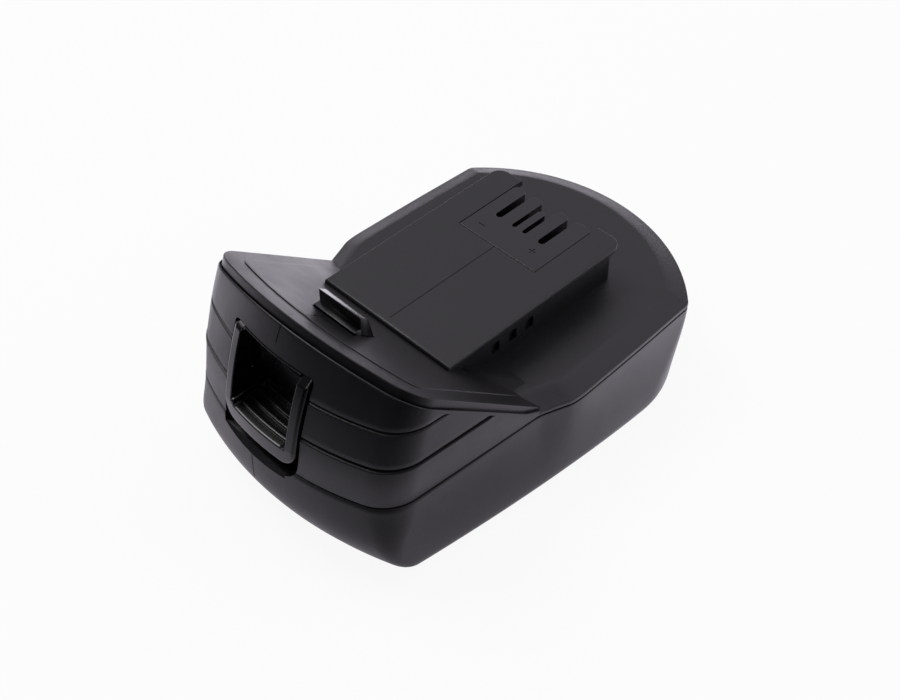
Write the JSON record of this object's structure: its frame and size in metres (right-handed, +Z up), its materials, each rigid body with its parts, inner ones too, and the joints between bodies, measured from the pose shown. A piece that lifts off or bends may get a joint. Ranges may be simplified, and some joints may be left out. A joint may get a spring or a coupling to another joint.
{
  "type": "power tool battery",
  "caption": "Slide-on battery pack with a railed deck, slotted terminal block, sloping hood and a sprung push-down release latch with hook.",
  "frame": {"origin": "centre of the footprint, on the surface that the pack stands on", "axes": "+Z up, -Y towards the release button, +Y the way the pack slides off the tool's blades' side (open end of the terminal slots), X across the pack"},
  "size_m": [0.084, 0.1262, 0.0623],
  "materials": {
    "component_black": "moulded chip",
    "screw_steel": "zinc",
    "cell_sleeve": "shrink sleeve",
    "carrier_plastic": "moulded",
    "insulator_paper": "pressed fibre",
    "board_laminate": "solder resist",
    "foam": "closed cell foam",
    "bracket_plastic": "moulded",
    "spring_steel": "drawn wire",
    "shell_plastic": "fine spark grain, charcoal",
    "latch_plastic": "satin",
    "nickel": "rolled strip",
    "block_plastic": "satin",
    "contact_brass": "stamped",
    "wire_sleeve": "thin sleeve",
    "housing_plastic": "satin deck and hood plate, fine grain on the bands"
  },
  "bodies": {
    "pack": {"board_capacitor": "component_black", "board_controller": "component_black", "board_screws": "screw_steel", "board_transistors": "component_black", "bracket_screws": "screw_steel", "case_screws": "screw_steel", "cell_1": "cell_sleeve", "cell_2": "cell_sleeve", "cell_3": "cell_sleeve", "cell_4": "cell_sleeve", "cell_5": "cell_sleeve", "cell_carrier_left": "carrier_plastic", "cell_carrier_right": "carrier_plastic", "cell_insulators": "insulator_paper", "circuit_board": "board_laminate", "foam_pad": "foam", "insulating_card": "insulator_paper", "latch_bracket": "bracket_plastic", "latch_spring_left": "spring_steel", "latch_spring_right": "spring_steel", "lower_shell": "shell_plastic", "strip_link_1_2": "nickel", "strip_link_2_3": "nickel", "strip_link_3_4": "nickel", "strip_link_4_5": "nickel", "strip_negative": "nickel", "strip_positive": "nickel", "terminal_block": "block_plastic", "terminal_data_one": "contact_brass", "terminal_data_two": "contact_brass", "terminal_negative": "contact_brass", "terminal_positive": "contact_brass", "thermistor": "wire_sleeve", "upper_housing": "housing_plastic"},
    "latch": {"release_latch": "latch_plastic"}
  },
  "joints": [
    {"name": "latch_slide", "type": "slide", "parent": "pack", "child": "latch", "axis": [0, 0, -1], "range_m": [0, 0.003], "stiffness_N_per_m": 900, "springref_m": -0.002, "deforming": ["latch_spring_left", "latch_spring_right"]}
  ]
}
